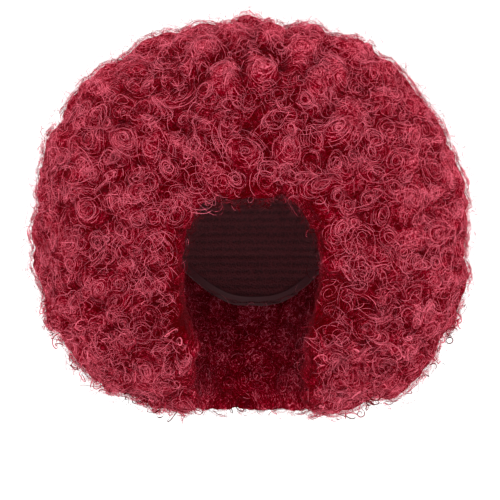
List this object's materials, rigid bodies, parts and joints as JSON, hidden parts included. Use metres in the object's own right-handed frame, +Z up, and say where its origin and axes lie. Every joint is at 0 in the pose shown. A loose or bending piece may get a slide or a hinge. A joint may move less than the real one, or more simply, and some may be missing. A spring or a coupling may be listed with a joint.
{
  "type": "afro wig",
  "caption": "Large round afro wig of dense tight curls on a close-fitting open cap, with the hair framing the face and covering the ears and nape.",
  "frame": {"origin": "where the crown of the head meets the inside of the cap, on the head's upright axis", "axes": "+Z up out of the crown, -Y out of the face, +X to the wearer's left"},
  "size_m": [0.4003, 0.3568, 0.3652],
  "materials": {
    "hair": "dyed burgundy curly fibre with a soft sheen",
    "cap": "matt dark red-brown knit"
  },
  "bodies": {
    "root": {"cap": "cap", "fringe_hair": "hair", "crown_front_hair": "hair", "crown_back_hair": "hair", "left_side_hair": "hair", "right_side_hair": "hair", "back_hair": "hair", "nape_hair": "hair"}
  },
  "joints": []
}
